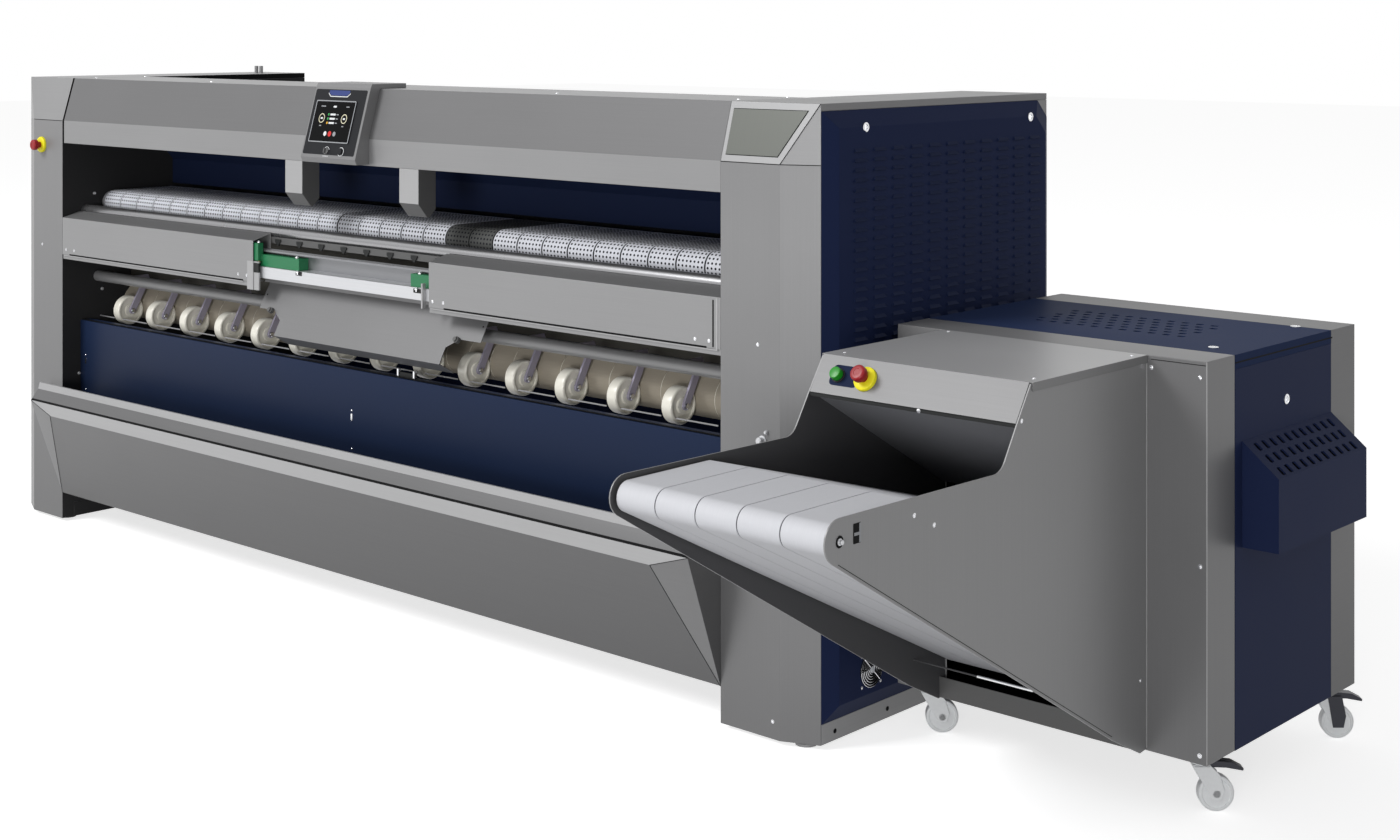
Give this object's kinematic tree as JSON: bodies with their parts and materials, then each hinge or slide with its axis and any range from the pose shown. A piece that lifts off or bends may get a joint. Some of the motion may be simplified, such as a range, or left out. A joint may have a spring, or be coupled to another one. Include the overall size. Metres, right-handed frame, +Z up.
{
  "type": "flatwork ironer",
  "caption": "Flatwork ironer with feed belts, heated roll, press wheels and front trough, and a stacking unit on casters at its side.",
  "frame": {"origin": "middle of the footprint of ironer and stacking unit, on the floor", "axes": "+X along the machine to the right as seen from the front, +Y towards its back, +Z up"},
  "size_m": [5.017, 2.097, 1.694],
  "materials": {
    "steel_grey": "satin brushed sheet steel, mid grey",
    "navy": "satin powder coat, dark blue",
    "dark_grey": "matt powder coat, near black",
    "aluminium": "satin drawn aluminium",
    "chrome": "polished",
    "belt_white": "woven ironing belt, off white, finely perforated",
    "belt_grey": "smooth conveyor belt, pale grey",
    "clamp_green": "matt machined plastic, green",
    "cream": "satin cast plastic, cream",
    "caster_grey": "satin moulded plastic, light grey",
    "screen_black": "glossy cover over a display",
    "stop_red": "glossy moulded plastic, red",
    "stop_yellow": "satin moulded plastic, yellow",
    "start_green": "glossy moulded plastic, green"
  },
  "bodies": {
    "ironer": {"left_housing": "steel_grey", "left_base": "steel_grey", "left_side_panel": "navy", "left_top_cover": "steel_grey", "right_housing": "steel_grey", "right_base": "steel_grey", "right_side_panel": "navy", "right_top_cover": "steel_grey", "badge_plate": "steel_grey", "canopy": "steel_grey", "roll_hood": "navy", "rear_panel": "navy", "left_canopy_leg": "steel_grey", "right_canopy_leg": "steel_grey", "touch_panel_housing": "dark_grey", "touch_screen": "screen_black", "feed_belts": "belt_white", "guide_tube": "chrome", "clamp_rail": "aluminium", "left_rail_cover": "steel_grey", "right_rail_cover": "steel_grey", "deflector_plate": "steel_grey", "wheel_frame": "steel_grey", "lower_panel": "navy", "trough_cover": "steel_grey", "ironer_stop_collar": "stop_yellow"},
    "stacker": {"stacker_front_frame": "steel_grey", "stacker_rear_frame": "steel_grey", "stacker_top_panel": "navy", "stacker_left_panel": "navy", "stacker_right_panel": "navy", "exhaust_hood": "navy", "hopper_left_plate": "steel_grey", "hopper_right_plate": "steel_grey", "control_plate": "steel_grey", "chute_plate": "dark_grey", "cross_plate": "dark_grey", "stacking_belt": "belt_grey", "stacker_stop_collar": "stop_yellow"},
    "heated_roll": {"heated_roll": "chrome"},
    "feed_nose_roller": {"feed_nose_roller": "aluminium"},
    "feed_drive_roller": {"feed_drive_roller": "aluminium"},
    "delivery_roller": {"delivery_roller": "cream"},
    "press_wheels": {"press_wheels": "cream"},
    "left_clamp_carriage": {"left_clamp_carriage": "clamp_green"},
    "right_clamp_carriage": {"right_clamp_carriage": "clamp_green"},
    "panel_key_switch": {"panel_key_switch": "chrome"},
    "panel_button": {"panel_button": "steel_grey"},
    "ironer_stop_button": {"ironer_stop_button": "stop_red"},
    "stacking_nose_roller": {"stacking_nose_roller": "aluminium"},
    "start_button": {"start_button": "start_green"},
    "stacker_stop_button": {"stacker_stop_button": "stop_red"},
    "front_left_caster_fork": {"front_left_caster_fork": "caster_grey"},
    "front_left_caster_wheel": {"front_left_caster_wheel": "caster_grey"},
    "front_right_caster_fork": {"front_right_caster_fork": "caster_grey"},
    "front_right_caster_wheel": {"front_right_caster_wheel": "caster_grey"},
    "rear_left_caster_fork": {"rear_left_caster_fork": "caster_grey"},
    "rear_left_caster_wheel": {"rear_left_caster_wheel": "caster_grey"},
    "rear_right_caster_fork": {"rear_right_caster_fork": "caster_grey"},
    "rear_right_caster_wheel": {"rear_right_caster_wheel": "caster_grey"}
  },
  "joints": [
    {"name": "heated_roll_spin", "type": "hinge", "parent": "ironer", "child": "heated_roll", "pos_m": [0, 0.65349, 1.05], "axis": [-1, 0, 0], "continuous": true},
    {"name": "feed_drive_spin", "type": "hinge", "parent": "ironer", "child": "feed_drive_roller", "pos_m": [0, 0.38349, 1.19], "axis": [-1, 0, 0], "continuous": true},
    {"name": "feed_nose_spin", "type": "hinge", "parent": "ironer", "child": "feed_nose_roller", "pos_m": [0, 0.13849, 1.19], "axis": [-1, 0, 0], "continuous": true},
    {"name": "delivery_spin", "type": "hinge", "parent": "ironer", "child": "delivery_roller", "pos_m": [0, 0.24926, 0.8], "axis": [-1, 0, 0], "continuous": true},
    {"name": "press_wheels_spin", "type": "hinge", "parent": "ironer", "child": "press_wheels", "pos_m": [0, 0.13349, 0.787], "axis": [-1, 0, 0], "continuous": true},
    {"name": "left_carriage_travel", "type": "slide", "parent": "ironer", "child": "left_clamp_carriage", "axis": [-1, 0, 0], "range_m": [-0.15, 1]},
    {"name": "right_carriage_travel", "type": "slide", "parent": "ironer", "child": "right_clamp_carriage", "axis": [1, 0, 0], "range_m": [-0.15, 1]},
    {"name": "key_switch_turn", "type": "hinge", "parent": "ironer", "child": "panel_key_switch", "pos_m": [-0.5075, -0.11732, 1.465], "axis": [0, -0.9626, 0.2707], "range_deg": [0, 90]},
    {"name": "panel_button_press", "type": "slide", "parent": "ironer", "child": "panel_button", "axis": [0, 0.9626, -0.2707], "range_m": [0, 0.002], "stiffness_N_per_m": 400, "springref_m": -0.002},
    {"name": "ironer_stop_press", "type": "slide", "parent": "ironer", "child": "ironer_stop_button", "axis": [0, 1, 0], "range_m": [0, 0.005], "stiffness_N_per_m": 800, "springref_m": -0.004},
    {"name": "stacker_roll", "type": "slide", "parent": "ironer", "child": "stacker", "axis": [1, 0, 0], "range_m": [0, 0.6]},
    {"name": "stacking_nose_spin", "type": "hinge", "parent": "stacker", "child": "stacking_nose_roller", "pos_m": [1.9665, -1.00251, 0.868], "axis": [1, 0, 0], "continuous": true},
    {"name": "start_press", "type": "slide", "parent": "stacker", "child": "start_button", "axis": [0, 0.8382, -0.5453], "range_m": [0, 0.004], "stiffness_N_per_m": 500, "springref_m": -0.003},
    {"name": "stacker_stop_press", "type": "slide", "parent": "stacker", "child": "stacker_stop_button", "axis": [0, 0.8382, -0.5453], "range_m": [0, 0.005], "stiffness_N_per_m": 800, "springref_m": -0.004},
    {"name": "front_left_caster_swivel", "type": "hinge", "parent": "stacker", "child": "front_left_caster_fork", "pos_m": [1.5465, 0.28149, 0.112], "axis": [0, 0, 1], "continuous": true},
    {"name": "front_left_wheel_spin", "type": "hinge", "parent": "front_left_caster_fork", "child": "front_left_caster_wheel", "pos_m": [1.57325, 0.30558, 0.043], "axis": [0.6691, -0.7431, 0], "continuous": true},
    {"name": "front_right_caster_swivel", "type": "hinge", "parent": "stacker", "child": "front_right_caster_fork", "pos_m": [2.3375, 0.28149, 0.112], "axis": [0, 0, 1], "continuous": true},
    {"name": "front_right_wheel_spin", "type": "hinge", "parent": "front_right_caster_fork", "child": "front_right_caster_wheel", "pos_m": [2.36425, 0.30558, 0.043], "axis": [0.6691, -0.7431, 0], "continuous": true},
    {"name": "rear_left_caster_swivel", "type": "hinge", "parent": "stacker", "child": "rear_left_caster_fork", "pos_m": [1.5465, 0.94149, 0.112], "axis": [0, 0, 1], "continuous": true},
    {"name": "rear_left_wheel_spin", "type": "hinge", "parent": "rear_left_caster_fork", "child": "rear_left_caster_wheel", "pos_m": [1.57325, 0.96558, 0.043], "axis": [0.6691, -0.7431, 0], "continuous": true},
    {"name": "rear_right_caster_swivel", "type": "hinge", "parent": "stacker", "child": "rear_right_caster_fork", "pos_m": [2.3375, 0.94149, 0.112], "axis": [0, 0, 1], "continuous": true},
    {"name": "rear_right_wheel_spin", "type": "hinge", "parent": "rear_right_caster_fork", "child": "rear_right_caster_wheel", "pos_m": [2.36425, 0.96558, 0.043], "axis": [0.6691, -0.7431, 0], "continuous": true}
  ],
  "couplings": [
    {"joint": "feed_drive_spin", "follows": "heated_roll_spin", "ratio": 5.3333},
    {"joint": "feed_nose_spin", "follows": "heated_roll_spin", "ratio": 5.3333},
    {"joint": "press_wheels_spin", "follows": "delivery_spin", "ratio": -1.1481},
    {"joint": "right_carriage_travel", "follows": "left_carriage_travel", "ratio": 1}
  ]
}
